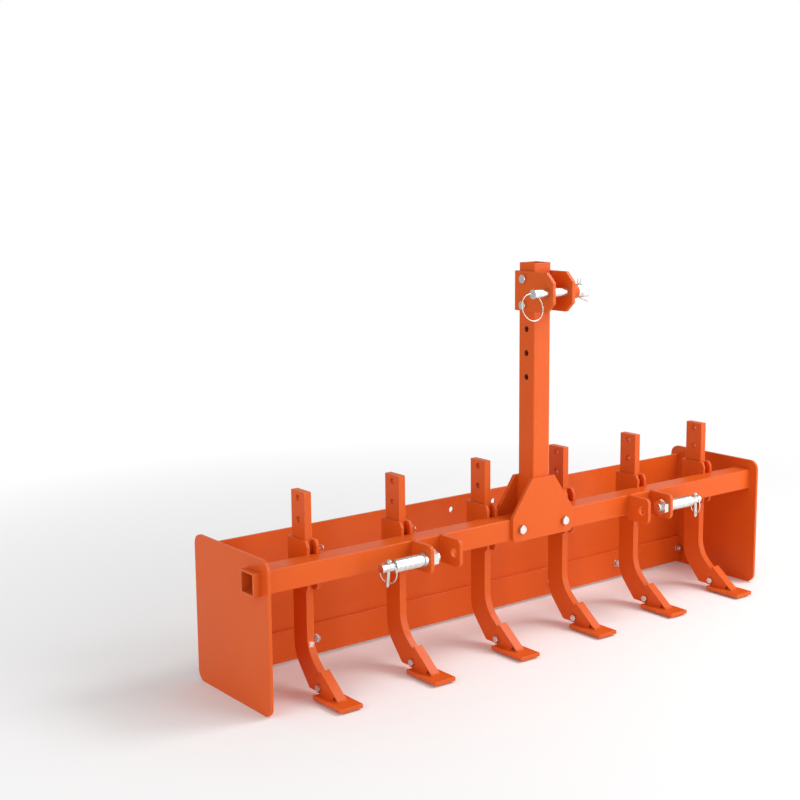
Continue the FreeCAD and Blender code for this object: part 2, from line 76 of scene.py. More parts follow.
bar_low, bar_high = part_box("tool_bar")
mast_low, mast_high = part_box("mast")
board_low, board_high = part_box("moldboard")
edge_low, edge_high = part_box("cutting_edge")
gusset_low, gusset_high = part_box("mast_plate_front")
rear_gusset_low, rear_gusset_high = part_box("mast_plate_rear")
clevis_low, clevis_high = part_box("clevis_plate_left")
boss_low, boss_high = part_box("clevis_plate_right")
link_low, link_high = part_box("top_link_pin")
hitch_low, hitch_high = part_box("hitch_pins")
ears_low, ears_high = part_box("hitch_ears")
pockets_low, pockets_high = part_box("pockets")
plate_low, plate_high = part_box("end_plate_left")

bar_middle = (bar_low + bar_high) / 2
bar_front, bar_back = bar_low.y, bar_high.y
bar_top = bar_high.z


def middle_of(node):
    low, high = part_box(node)
    return (low + high) / 2


def mm(points):
    """Points or profile steps given in millimetres, in metres."""
    return [tuple(value * MM for value in point) for point in points]


shank_places = [middle_of(f"shank_{n + 1}").x for n in range(len(SCARIFIERS))]
print("scarifiers stand at", [round(x, 3) for x in shank_places])

# %% [markdown]
# The camera stands where the photograph was taken: to the front and left, a little above the mast.
# Its angles were worked out from the edges of the end plates, the bar and the mast, so the render and
# the photograph can be laid over each other.

# %% Camera
CAMERA_PLACE = Vector((-2.58684, -2.88938, 1.31578))
LOOK_RIGHT = 37.110
LOOK_DOWN = 9.491
ROLL = -0.5405
SENSOR = 36
FOCAL_LENGTH = 63.30

yaw, pitch, roll = (math.radians(angle) for angle in (LOOK_RIGHT, LOOK_DOWN, ROLL))
ahead = Vector((math.cos(pitch) * math.sin(yaw), math.cos(pitch) * math.cos(yaw), -math.sin(pitch)))
level_right = Vector((math.cos(yaw), -math.sin(yaw), 0))
level_up = level_right.cross(ahead)
right = level_right * math.cos(roll) + level_up * math.sin(roll)
up = level_up * math.cos(roll) - level_right * math.sin(roll)

camera_data = bpy.data.cameras.new("camera")
camera_data.sensor_width = SENSOR
camera_data.lens = FOCAL_LENGTH
camera = bpy.data.objects.new("camera", camera_data)
turn = Matrix((right, up, -ahead)).transposed().to_4x4()
camera.matrix_world = Matrix.Translation(CAMERA_PLACE) @ turn
bpy.context.collection.objects.link(camera)
bpy.context.scene.camera = camera
print("camera", FOCAL_LENGTH, "mm at", tuple(round(c, 2) for c in CAMERA_PLACE))

# %% [markdown]
# Shader maths reads best as plain sums. `Recipe` starts a material, its `node` method adds any node
# with its settings and sockets, and `Wire` wraps one output so that `1 - mask * 0.5` adds Math nodes.

# %% A small way to write materials


class Wire:
    """One output of a material's node tree that can be used in a sum."""

    def __init__(self, recipe, socket):
        self.recipe = recipe
        self.socket = socket

    def math(self, operation, first, second=0.0, clamp=False):
        settings = {"operation": operation, "use_clamp": clamp}
        return self.recipe.node("ShaderNodeMath", settings, {0: first, 1: second})

    def __add__(self, other):
        return self.math("ADD", self, other)

    def __sub__(self, other):
        return self.math("SUBTRACT", self, other)

    def __rsub__(self, other):
        return self.math("SUBTRACT", other, self)

    def __mul__(self, other):
        return self.math("MULTIPLY", self, other)

    __radd__ = __add__
    __rmul__ = __mul__

    def clamped(self):
        return self.math("ADD", self, 0.0, clamp=True)

    def larger(self, other):
        return self.math("MAXIMUM", self, other)


class Recipe:
    """A material while it is being put together."""

    def __init__(self, name):
        self.material = bpy.data.materials.new(name)
        self.material.use_nodes = True
        self.tree = self.material.node_tree
        self.tree.nodes.clear()

    def node(self, kind, settings=None, sockets=None, output=0):
        node = self.tree.nodes.new(kind)
        for name, value in (settings or {}).items():
            setattr(node, name, value)
        for name, value in (sockets or {}).items():
            if isinstance(value, Wire):
                self.tree.links.new(value.socket, node.inputs[name])
            else:
                node.inputs[name].default_value = value
        return Wire(self, node.outputs[output])

    def place(self, scale=(1, 1, 1)):
        spot = self.node("ShaderNodeTexCoord", output="Object")
        return self.node("ShaderNodeMapping", None, {"Vector": spot, "Scale": scale})

    def noise(self, place, scale, detail=2.0):
        return self.node("ShaderNodeTexNoise", None, {"Vector": place, "Scale": scale, "Detail": detail})

    def ramp(self, value, low, high):
        """0 below low, 1 above high, and even in between."""
        sockets = {"Value": value, "From Min": low, "From Max": high}
        return self.node("ShaderNodeMapRange", {"clamp": True}, sockets)

    def mix(self, factor, first, second):
        sockets = {0: factor, 6: first, 7: second}
        return self.node("ShaderNodeMix", {"data_type": "RGBA"}, sockets, output=2)

    def rounded(self, radius):
        return self.node("ShaderNodeBevel", {"samples": 4}, {"Radius": radius})

    def finish(self, shader):
        end = self.tree.nodes.new("ShaderNodeOutputMaterial")
        self.tree.links.new(shader.socket, end.inputs["Surface"])
        return self.material


# %% [markdown]
# The steel is covered with orange powder coat. It is baked on as a thick, glossy skin, so it shows a
# fine orange-peel ripple and soft round edges. Every edge is painted paler: a painted highlight along
# the edge, paler still in broken spots as wear. A Bevel node gives the round edges. It also finds
# them: where the rounded normal leaves the face's own normal, there is an edge. Dust dulls the gloss
# in broad, faint patches.

# %% Powder coat
COAT_ORANGE = (0.73, 0.110, 0.012, 1)
COAT_DEEP = (0.65, 0.084, 0.008, 1)
# Pale edge colour: a painted highlight along every edge, and wear where it is broken.
EDGE_HIGHLIGHT_AND_WEAR = (0.94, 0.37, 0.18, 1)
# Pale pink-white colour of one small spot on the first shank.
PALE_SPOT_COLOUR = (0.80, 0.62, 0.56, 1)
# Near-black brown over the inside of the tubes: painted shade.
TUBE_PAINTED_SHADE = (0.16, 0.035, 0.014, 1)
COAT_SHINE = 0.18
COAT_ROUND = 1.6 * MM
PEEL_DEPTH = 0.4 * MM


def orange(coat, place):
    """The coat's colour and its broad, faint patches."""
    broad = coat.ramp(coat.noise(place, 2.6, 2), 0.3, 0.7)
    return coat.mix(broad * 0.35, COAT_ORANGE, COAT_DEEP), broad


def shares_of_box(coat, middle, half):
    """Where a point lies in a box: each part runs from -1 to 1 across it."""
    offset = coat.node("ShaderNodeVectorMath", {"operation": "SUBTRACT"}, {0: coat.place(), 1: middle})
    return coat.node("ShaderNodeVectorMath", {"operation": "DIVIDE"}, {0: offset, 1: half})


# Lays a small pale spot with a ragged rim inside the box, and makes it rougher.
def with_pale_spot(coat, colour, roughness, middle, half):
    shares = shares_of_box(coat, middle, half)
    distance = coat.node("ShaderNodeVectorMath", {"operation": "LENGTH"}, {0: shares}, "Value")
    ragged = distance + coat.noise(coat.place(), 160, 3) * 0.8
    spot_mask = 1 - coat.ramp(ragged, 1.15, 1.3)
    return coat.mix(spot_mask, colour, PALE_SPOT_COLOUR), roughness + spot_mask * 0.25


# Painted shade: inside a tube's hollow the colour turns dark brown and the coat rougher, in place of the
# shade in there.
def painted_shade_inside(coat, colour, roughness, middle, half):
    shares = shares_of_box(coat, middle, half)
    size = coat.node("ShaderNodeVectorMath", {"operation": "ABSOLUTE"}, {0: shares})
    x, y, z = (coat.node("ShaderNodeSeparateXYZ", None, {0: size}, axis) for axis in "XYZ")
    inside = 1 - coat.ramp(x.larger(y).larger(z), 1.0, 1.02)
    return coat.mix(inside, colour, TUBE_PAINTED_SHADE), roughness + inside * 0.3


def powder_coat(name, edge_wear, spot_box=None, bore=None):
    """Orange coat. Two optional boxes, each (middle, half size): the first gets a small pale spot with a
    ragged rim, and the second, a tube's hollow, gets painted shade, a dark colour over the inside."""
    coat = Recipe(name)
    place = coat.place()
    rounded = coat.rounded(COAT_ROUND)
    flat = coat.node("ShaderNodeNewGeometry", output="Normal")
    normals = {0: rounded, 1: flat}
    facing = coat.node("ShaderNodeVectorMath", {"operation": "DOT_PRODUCT"}, normals, "Value")
    edge = coat.ramp(1 - facing, 0.01, 0.16)
    broken = coat.ramp(coat.noise(place, 90, 3), 0.38, 0.62)
    colour, broad = orange(coat, place)
    # Painted highlight: every edge goes 0.4 of the way to the pale colour, and broken spots further by
    # edge_wear, as wear.
    colour = coat.mix((edge * (0.4 + broken * edge_wear)).clamped(), colour, EDGE_HIGHLIGHT_AND_WEAR)
    dust = coat.ramp(coat.noise(place, 14, 4), 0.35, 0.75)
    roughness = 0.26 + dust * 0.10 + broad * 0.05
    if spot_box:
        colour, roughness = with_pale_spot(coat, colour, roughness, *spot_box)
    # Painted shade over a tube's hollow.
    if bore:
        colour, roughness = painted_shade_inside(coat, colour, roughness, *bore)
    peel = coat.noise(place, 420, 2)
    normal = coat.node("ShaderNodeBump", None,
                       {"Strength": 0.10, "Distance": PEEL_DEPTH, "Height": peel, "Normal": rounded})
    shader = coat.node("ShaderNodeBsdfPrincipled", None, {
        "Base Color": colour, "Roughness": roughness, "Normal": normal, "Specular IOR Level": COAT_SHINE,
    })
    return coat.finish(shader)


def bead_coat():
    """The same coat over a weld: no pale edges, neither the painted edge highlight nor wear, and the
    ripple is left out, as the scales are finer.
    """
    coat = Recipe("bead_coat")
    place = coat.place()
    colour, broad = orange(coat, place)
    roughness = 0.34 + coat.noise(place, 120, 2) * 0.12
    shader = coat.node("ShaderNodeBsdfPrincipled", None, {
        "Base Color": colour, "Roughness": roughness, "Specular IOR Level": COAT_SHINE,
    })
    return coat.finish(shader)


# %% [markdown]
# Pins, bolts and nuts are zinc plated: bright metal with a faint yellow-green cast in patches, and
# rings left by the lathe on the turned pins. The rings come from a noise stretched around the pin.

# %% Zinc plating
ZINC = (0.80, 0.81, 0.81, 1)
ZINC_DULL = (0.46, 0.47, 0.47, 1)
ZINC_WARM = (0.70, 0.64, 0.44, 1)
ZINC_ROUND = 0.7 * MM
RING_DEPTH = 0.1 * MM


def zinc_plate(name, warmth, stretch=(1, 1, 1)):
    plate = Recipe(name)
    place = plate.place()
    rounded = plate.rounded(ZINC_ROUND)
    patches = plate.ramp(plate.noise(place, 60, 3), 0.4, 0.7)
    rings = plate.ramp(plate.noise(plate.place(stretch), 300, 2), 0.35, 0.65)
    colour = plate.mix(rings * 0.45, ZINC, ZINC_DULL)
    colour = plate.mix(patches * warmth, colour, ZINC_WARM)
    roughness = 0.20 + patches * 0.10 + rings * 0.08
    normal = plate.node("ShaderNodeBump", None,
                        {"Strength": 0.12, "Distance": RING_DEPTH, "Height": rings, "Normal": rounded})
    shader = plate.node("ShaderNodeBsdfPrincipled", None, {
        "Base Color": colour, "Metallic": 1.0, "Roughness": roughness, "Normal": normal,
    })
    return plate.finish(shader)


# %% [markdown]
# The finishes are made once and shared. The first shank has one small pale spot on its coat, in front
# where the bar begins to curve. The bar and the mast are tubes, and the shade inside them is painted
# in as a dark colour over their hollows.

# %% All finishes
# Where the small pale spot sits on the first shank, and its size.
SPOT_FROM_BACK = 68 * MM
SPOT_HEIGHT = 130 * MM
SPOT_HALF = (14 * MM, 8 * MM, 12 * MM)
TUBE_WALL = 6 * MM
FAR = 10.0

spot_middle = (shank_places[0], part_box("shank_1")[1].y - SPOT_FROM_BACK, SPOT_HEIGHT)
bar_hollow = (bar_high - bar_low) / 2 - Vector((0, TUBE_WALL, TUBE_WALL))
mast_middle = middle_of("mast")
mast_hollow = (mast_high - mast_low) / 2 - Vector((TUBE_WALL, TUBE_WALL, 0))
coat = powder_coat("powder_coat", 0.35)
# Painted shade: these two coats colour the hollows of the bar and the mast dark.
bar_coat = powder_coat("bar_coat", 0.35, None, (bar_middle, (FAR, bar_hollow.y, bar_hollow.z)))
mast_coat = powder_coat("mast_coat", 0.35, None, (mast_middle, (mast_hollow.x, mast_hollow.y, FAR)))
shank_coat = powder_coat("shank_coat", 0.7)
spotted_coat = powder_coat("spotted_coat", 0.7, (spot_middle, SPOT_HALF))
point_coat = powder_coat("point_coat", 0.8)
bead_orange = bead_coat()
turned_zinc = zinc_plate("turned_zinc", 0.25, (1, 0.05, 0.05))
bolt_zinc = zinc_plate("bolt_zinc", 0.35)
wire_zinc = zinc_plate("wire_zinc", 0.8)
print("finishes:", len(bpy.data.materials))

# %% [markdown]
# Every sub-part of the frame keeps its shape and gets its finish by the slot that its record names.

# %% Finishes on the frame
FINISHES = {"paint": coat, "shank_paint": shank_coat, "point_paint": point_coat, "zinc": turned_zinc}
for part in frame["record"]["subparts"]:
    mesh = nodes[part["node"]].data
    mesh.materials.clear()
    mesh.materials.append(FINISHES[part["material_slot"]])
nodes["shank_1"].data.materials[0] = spotted_coat
nodes["tool_bar"].data.materials[0] = bar_coat
nodes["mast"].data.materials[0] = mast_coat
print("finishes on", len(nodes), "sub-parts")

# %% [markdown]
# Hardware repeats: the same bolt sits in many places. Each kind is made once as a small mesh along
# +Z, and a Geometry Nodes tree sets a copy on each point of a point cloud, turned by an attribute.
# Real copies are made at the end of the tree, because an exported file would lose instances.

# %% Small helpers for meshes


def new_mesh(name, vertices, faces, smooth_angle=35):
    """A mesh object with outward faces, smooth but for its sharp edges."""
    mesh = bpy.data.meshes.new(name)
    work = bmesh.new()
    spots = [work.verts.new(vertex) for vertex in vertices]
    for face in faces:
        work.faces.new([spots[i] for i in face])
    bmesh.ops.remove_doubles(work, verts=work.verts, dist=1e-6)
    bmesh.ops.recalc_face_normals(work, faces=work.faces)
    for edge in work.edges:
        edge.smooth = len(edge.link_faces) == 2 and edge.calc_face_angle(0) < math.radians(smooth_angle)
    for face in work.faces:
        face.smooth = True
    work.to_mesh(mesh)
    work.free()
    return bpy.data.objects.new(name, mesh)


def ring_mesh(name, rings, closed=False, smooth_angle=35):
    """A mesh from rings of as many points each; both ends are filled unless it closes on itself."""
    count = len(rings[0])
    vertices = [point for ring in rings for point in ring]
    faces = []
    for i in range(len(rings) if closed else len(rings) - 1):
        here, following = i * count, (i + 1) % len(rings) * count
        for j in range(count):
            beside = (j + 1) % count
            faces.append((here + j, here + beside, following + beside, following + j))
    if not closed:
        faces.append(tuple(range(count)))
        faces.append(tuple(range(len(vertices) - count, len(vertices))))
    return new_mesh(name, vertices, faces, smooth_angle)


def turned(name, profile, sides=32, closed=False):
    """A lathe piece about Z; profile is a list of (radius, height)."""
    rings = []
    for radius, height in profile:
        angles = [math.tau * k / sides for k in range(sides)]
        rings.append([(radius * math.cos(a), radius * math.sin(a), height) for a in angles])
    return ring_mesh(name, rings, closed)


def combined(name, pieces):
    """Several mesh objects as one."""
    work = bmesh.new()
    for piece in pieces:
        work.from_mesh(piece.data)
    mesh = bpy.data.meshes.new(name)
    work.to_mesh(mesh)
    work.free()
    return bpy.data.objects.new(name, mesh)


# %% [markdown]
# A hexagon head is a hexagonal prism whose corners were turned off on a lathe. The corner cut is a
# cone, so on each flat it leaves a curved edge, which is what makes a real bolt head look right.

# %% Bolts, nuts and washers
HEX_SIDES = 48
CHAMFER_SLOPE = math.tan(math.radians(30))
FLAT_SHARE = 0.94
BORE_FLARE = 0.12


def hex_radius(angle, across):
    """Distance from the axis to the hexagon's edge at an angle."""
    from_flat = (angle + math.pi / 6) % (math.pi / 3) - math.pi / 6
    return across / 2 / math.cos(from_flat)


def hex_block(name, across, bottom, top, bore=0.0, both_ends=False):
    """A hexagonal block with turned-off corners at the top, or at both ends as on a nut."""
    angles = [math.tau * k / HEX_SIDES for k in range(HEX_SIDES)]
    flat_top = across / 2 * FLAT_SHARE

    def ring(radius_at, height_at):
        return [(radius_at(a) * math.cos(a), radius_at(a) * math.sin(a), height_at(a)) for a in angles]

    def cut(angle):
        return (hex_radius(angle, across) - flat_top) * CHAMFER_SLOPE

    lower_cut = cut if both_ends else lambda a: 0.0
    lower_flat = (lambda a: flat_top) if both_ends else (lambda a: hex_radius(a, across))
    rings = [
        ring(lower_flat, lambda a: bottom),
        ring(lambda a: hex_radius(a, across), lambda a: bottom + lower_cut(a)),
        ring(lambda a: hex_radius(a, across), lambda a: top - cut(a)),
        ring(lambda a: flat_top, lambda a: top),
    ]
    if bore:
        rings.append(ring(lambda a: bore * (1 + BORE_FLARE), lambda a: top))
        rings.append(ring(lambda a: bore, lambda a: top - bore * BORE_FLARE))
        rings.append(ring(lambda a: bore, lambda a: bottom))
    return ring_mesh(name, rings, closed=bool(bore), smooth_angle=20)


def washer(name, outer, inner, bottom, top):
    edge = (top - bottom) * 0.25
    profile = [(inner, bottom), (outer - edge, bottom), (outer, bottom + edge), (outer, top - edge),
               (outer - edge, top), (inner, top)]
    return turned(name, profile, closed=True)


def stud_end(name, radius, bottom, top, pitch):
    """The threaded end of a bolt, as a stack of ridges."""
    profile = [(radius * 0.86, bottom)]
    height = bottom
    while height + pitch < top - radius * 0.15:
        profile.append((radius, height + pitch * 0.5))
        profile.append((radius * 0.86, height + pitch))
        height += pitch
    profile.append((radius * 0.7, top))
    return turned(name, profile, sides=24)


SEAT_THICKNESS = 0.8 * MM
SEAT_OVERLAP = 0.2 * MM


def bolt_head(size, across, height):
    """A hexagon head on the thin round face that is forged under it."""
    name = f"head_{size}"
    inner, outer = across * 0.3, across * 0.46
    profile = [(inner, 0), (outer, 0), (outer, SEAT_THICKNESS), (inner, SEAT_THICKNESS)]
    seat = turned(f"{name}_seat", profile, closed=True)
    block = hex_block(f"{name}_hex", across, SEAT_THICKNESS - SEAT_OVERLAP, height)
    return combined(name, [seat, block])


def nut_end(size, across, height, washer_radius, washer_thickness, thread, reach, pitch):
    name = f"nut_{size}"
    disc = washer(f"{name}_washer", washer_radius, thread, 0, washer_thickness)
    top = washer_thickness + height
    block = hex_block(f"{name}_hex", across, washer_thickness, top, thread, both_ends=True)
    end = stud_end(f"{name}_thread", thread * 0.97, 0, top + reach, pitch)
    return combined(name, [disc, block, end])


head_14 = bolt_head("14", across=22 * MM, height=8.8 * MM)
nut_14 = nut_end("14", across=22 * MM, height=11 * MM, washer_radius=14 * MM, washer_thickness=2.5 * MM,
                 thread=7 * MM, reach=6 * MM, pitch=2 * MM)
head_12 = bolt_head("12", across=18 * MM, height=7.5 * MM)
nut_12 = nut_end("12", across=18 * MM, height=10 * MM, washer_radius=11 * MM, washer_thickness=1.5 * MM,
                 thread=6 * MM, reach=4 * MM, pitch=1.75 * MM)
print("bolt head", len(head_14.data.polygons), "faces; nut", len(nut_14.data.polygons), "faces")

# %% [markdown]
# The placing tree takes points and one object. `turn` is an attribute on the points: three angles
# that carry +Z to the direction in which that copy faces.

# %% The placing tree


class Graph:
    """A Geometry Nodes tree while it is being put together."""

    def __init__(self, name, inputs):
        self.tree = bpy.data.node_groups.new(name, "GeometryNodeTree")
        face = self.tree.interface
        face.new_socket("Geometry", in_out="OUTPUT", socket_type="NodeSocketGeometry")
        self.identifiers = {}
        for label, kind in inputs:
            socket = face.new_socket(label, in_out="INPUT", socket_type=kind)
            self.identifiers[label] = socket.identifier
        self.given = self.tree.nodes.new("NodeGroupInput").outputs

    def node(self, kind, settings=None, sockets=None):
        node = self.tree.nodes.new(kind)
        for name, value in (settings or {}).items():
            setattr(node, name, value)
        for name, value in (sockets or {}).items():
            if isinstance(value, bpy.types.NodeSocket):
                self.tree.links.new(value, node.inputs[name])
            else:
                node.inputs[name].default_value = value
        return node.outputs

    def finish(self, geometry, material):
        real = self.node("GeometryNodeRealizeInstances", None, {"Geometry": geometry})["Geometry"]
        dressed = self.node("GeometryNodeSetMaterial", None, {"Geometry": real, "Material": material})
        out = self.tree.nodes.new("NodeGroupOutput")
        self.tree.links.new(dressed["Geometry"], out.inputs["Geometry"])
        return self

    def apply(self, name, source, **values):
        """The tree's result on a source object, as a plain mesh object of that name."""
        bpy.context.collection.objects.link(source)
        modifier = source.modifiers.new("tree", "NODES")
        modifier.node_group = self.tree
        for label, value in values.items():
            modifier[self.identifiers[label.replace("_", " ")]] = value
        bpy.context.view_layer.update()
        evaluated = source.evaluated_get(bpy.context.evaluated_depsgraph_get())
        mesh = bpy.data.meshes.new_from_object(evaluated)
        bpy.data.objects.remove(source)
        mesh.name = name
        piece = bpy.data.objects.new(name, mesh)
        bpy.context.collection.objects.link(piece)
        return piece


def placing_graph():
    graph = Graph("set_copies", [
        ("Points", "NodeSocketGeometry"), ("Piece", "NodeSocketObject"),
        ("Material", "NodeSocketMaterial"),
    ])
    given = graph.given
    piece = graph.node("GeometryNodeObjectInfo", None, {"Object": given["Piece"]})["Geometry"]
    turn = graph.node("GeometryNodeInputNamedAttribute", {"data_type": "FLOAT_VECTOR"},
                      {"Name": "turn"})
    rotation = graph.node("FunctionNodeEulerToRotation", None, {"Euler": turn["Attribute"]})["Rotation"]
    points = graph.node("GeometryNodeMeshToPoints", None, {"Mesh": given["Points"]})["Points"]
    copies = graph.node("GeometryNodeInstanceOnPoints", None,
                        {"Points": points, "Instance": piece, "Rotation": rotation})["Instances"]
    return graph.finish(copies, given["Material"])


set_copies = placing_graph()
QUARTER = math.pi / 2
FACING = {
    "front": (QUARTER, 0, 0), "rear": (-QUARTER, 0, 0),
    "right": (0, QUARTER, 0), "left": (0, -QUARTER, 0),
}


def put(name, piece, places, material, body):
    """Copies of a piece at (point, turn) places, as one piece of the scene on a body."""
    mesh = bpy.data.meshes.new(f"{name}_points")
    mesh.from_pydata([point for point, turn in places], [], [])
    turns = mesh.attributes.new("turn", "FLOAT_VECTOR", "POINT")
    for i, (point, turn) in enumerate(places):
        turns.data[i].vector = turn
    if piece.name not in bpy.context.collection.objects:
        bpy.context.collection.objects.link(piece)
    points = bpy.data.objects.new(f"{name}_points", mesh)
    result = set_copies.apply(name, points, Piece=piece, Material=material)
    bpy.context.collection.objects.unlink(piece)
    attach(result, body)
    print(name, len(places), "copies,", len(result.data.polygons), "faces")


# %% [markdown]
# Two large bolts clamp the mast's gussets to the bar, two more hold the clevis plates to the mast, and
# seven smaller ones hold the cutting edge to the moldboard, with their nuts to the front. Those seven
# are each spun by a different angle, as they stop wherever they are tight.

# %% Bolts of the frame


def spun(tilt, spin):
    """The turn of a piece that is spun about its own axis and then tilted about X."""
    return tuple((Matrix.Rotation(tilt, 3, "X") @ Matrix.Rotation(spin, 3, "Z")).to_euler())


GUSSET_BOLT_INSET = 30 * MM
EDGE_BOLTS = 7
EDGE_BOLT_PITCH = 288.7 * MM
EDGE_BOLT_SHIFT = 10 * MM
EDGE_BOLT_HEIGHT = 52 * MM
BOARD_LEAN = 6 / 120
BOARD_KNEE = 120 * MM
CLEVIS_BOLT_DROPS = [42.5 * MM, 113.5 * MM]
NUT_SPIN = 9
HEAD_SPIN = 7

gusset_bolt_x = gusset_high.x - GUSSET_BOLT_INSET
heads = [((side * gusset_bolt_x, gusset_low.y, bar_middle.z), FACING["front"]) for side in (-1, 1)]
nuts = [((side * gusset_bolt_x, rear_gusset_high.y, bar_middle.z), FACING["rear"]) for side in (-1, 1)]
clevis_heights = [mast_high.z - drop for drop in CLEVIS_BOLT_DROPS]
heads += [((clevis_low.x, bar_middle.y, height), FACING["left"]) for height in clevis_heights]
clevis_right_face = -clevis_low.x
nuts += [((clevis_right_face, bar_middle.y, height), FACING["right"]) for height in clevis_heights]
put("mast_bolt_heads", head_14, heads, bolt_zinc, "frame")
put("mast_bolt_nuts", nut_14, nuts, bolt_zinc, "frame")

lean = math.atan(BOARD_LEAN)
edge_front = edge_low.y + BOARD_LEAN * (EDGE_BOLT_HEIGHT - edge_low.z)
board_rear = board_high.y - BOARD_LEAN * (BOARD_KNEE - EDGE_BOLT_HEIGHT)
edge_x = [EDGE_BOLT_SHIFT + EDGE_BOLT_PITCH * (k - (EDGE_BOLTS - 1) / 2) for k in range(EDGE_BOLTS)]
nuts = [((x, edge_front, EDGE_BOLT_HEIGHT), spun(QUARTER - lean, x * NUT_SPIN)) for x in edge_x]
heads = [((x, board_rear, EDGE_BOLT_HEIGHT), spun(-QUARTER - lean, x * HEAD_SPIN)) for x in edge_x]
put("edge_bolt_nuts", nut_12, nuts, bolt_zinc, "frame")
put("edge_bolt_heads", head_12, heads, bolt_zinc, "frame")

# %% [markdown]
# Each point is held to its shank by one bolt through the cheeks. It moves with the scarifier, so every
# scarifier gets a pair of its own.

# %% Bolts of the points
POINT_BOLT_INSET = 13 * MM
POINT_BOLT_RISE = 25 * MM
CHEEK_FACE = 13.3 * MM

for number, body in enumerate(SCARIFIERS, start=1):
    low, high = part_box(f"point_{number}")
    x = shank_places[number - 1]
    back, height = high.y - POINT_BOLT_INSET, low.z + POINT_BOLT_RISE
    head_place = [((x - CHEEK_FACE, back, height), FACING["left"])]
    nut_place = [((x + CHEEK_FACE, back, height), FACING["right"])]
    put(f"point_bolt_head_{number}", head_12, head_place, bolt_zinc, body)
    put(f"point_bolt_nut_{number}", nut_12, nut_place, bolt_zinc, body)

# %% [markdown]
# Pins and clips are bent from round rod and wire. Their centre lines are short curves, and one tree
# sweeps a round section along any of them.

# %% The wire tree


def wire_graph():
    graph = Graph("round_wire", [
        ("Line", "NodeSocketGeometry"), ("Radius", "NodeSocketFloat"), ("Sides", "NodeSocketInt"),
        ("Material", "NodeSocketMaterial"),
    ])
    given = graph.given
    section = graph.node("GeometryNodeCurvePrimitiveCircle", None,
                         {"Resolution": given["Sides"], "Radius": given["Radius"]})["Curve"]
    swept = graph.node("GeometryNodeCurveToMesh", None,
                       {"Curve": given["Line"], "Profile Curve": section, "Fill Caps": True})["Mesh"]
    smooth = graph.node("GeometryNodeSetShadeSmooth", None, {"Geometry": swept})["Geometry"]
    return graph.finish(smooth, given["Material"])


round_wire = wire_graph()


def curve_of(name, lines, cyclic=False):
    """A curve object of straight steps along each line of points."""
    data = bpy.data.curves.new(name, "CURVE")
    data.dimensions = "3D"
    for points in lines:
        spline = data.splines.new("POLY")
        spline.points.add(len(points) - 1)
        for spot, point in zip(spline.points, points):
            spot.co = (*point, 1)
        spline.use_cyclic_u = cyclic
    return bpy.data.objects.new(name, data)


def arc(middle, first, second, radius, start, end, steps=12):
    """Points of an arc about middle; first and second are its plane's directions, angles in degrees."""
    points = []
    for k in range(steps + 1):
        angle = math.radians(start + (end - start) * k / steps)
        points.append(Vector(middle) + Vector(first) * radius * math.cos(angle)
                      + Vector(second) * radius * math.sin(angle))
    return points


def wire(name, points, radius, material, sides=12, cyclic=False):
    line = curve_of(f"{name}_line", [points], cyclic)
    piece = round_wire.apply(name, line, Radius=radius, Sides=sides, Material=material)
    bpy.context.collection.objects.unlink(piece)
    return piece


# %% [markdown]
# A cross pin goes through each pocket and the shank in it. Its end is bent into a handle on one side
# and takes a spring clip on the other: a hairpin of wire with one straight leg through the pin
# and one wavy leg that grips it from outside.

# %% Cross pins and their spring clips
PIN_RADIUS = 8 * MM
PIN_OUT_LEFT = 30 * MM
PIN_OUT_RIGHT = 46 * MM
PIN_BEND = 14 * MM
HANDLE_REACH = 44 * MM
CLIP_WIRE = 1.6 * MM
CLIP_OUT = 40 * MM
CLIP_BELOW = 22 * MM
CLIP_ABOVE = 46 * MM
CLIP_LOOP = 6 * MM
CLIP_GAP = 2 * MM
HANDLE_SWINGS = [62, 71, 58, 75, 66, 60]
CLIP_SWINGS = [45, 44, -24, 30, -38, 22]
SHANK_HALF_DEPTH = 30 * MM

bend_middle = (-PIN_OUT_LEFT, 0, -PIN_BEND)
pin_line = [(PIN_OUT_RIGHT, 0, 0), (0, 0, 0)]
pin_line += arc(bend_middle, Z, -X, PIN_BEND, 0, 90)
pin_line += [(-PIN_OUT_LEFT - PIN_BEND, 0, -HANDLE_REACH)]
cross_pin = wire("cross_pin", pin_line, PIN_RADIUS, turned_zinc, sides=24)

clip_line = [(0, 0, -CLIP_BELOW), (0, 0, CLIP_ABOVE)]
clip_line += arc((0, CLIP_LOOP, CLIP_ABOVE), -Y, Z, CLIP_LOOP, 0, 180)
clip_line += mm([(0, 12, 38), (0, 7, 18), (0, 6, 11)])
clip_line += arc((0, 0, 0), Y, Z, PIN_RADIUS + CLIP_GAP, 60, -60)
clip_line += mm([(0, 6, -11), (0, 12, -20)])
spring_clip = wire("spring_clip", clip_line, CLIP_WIRE, wire_zinc)

pin_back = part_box("shank_1")[1].y - SHANK_HALF_DEPTH
pin_spots = [Vector((x, pin_back, bar_middle.z)) for x in shank_places]
swings = [(math.radians(angle), 0, 0) for angle in HANDLE_SWINGS]
put("cross_pins", cross_pin, list(zip(pin_spots, swings)), turned_zinc, "frame")
swings = [(math.radians(angle), 0, 0) for angle in CLIP_SWINGS]
clip_spots = [spot + X * CLIP_OUT for spot in pin_spots]
put("spring_clips", spring_clip, list(zip(clip_spots, swings)), wire_zinc, "frame")

# %% [markdown]
# Lynch pins lock the hitch pins. Each is a short round peg with a domed head, and a sprung wire ring
# hinged in that head that snaps around the pin below.

# %% Lynch pins
PEG_RADIUS = 5 * MM
RING_WIRE = 1.8 * MM
RING_RADIUS = 28 * MM
RING_HINGE = 15 * MM
LYNCH_INSET_LEFT = 24 * MM
LYNCH_INSET_RIGHT = 16 * MM

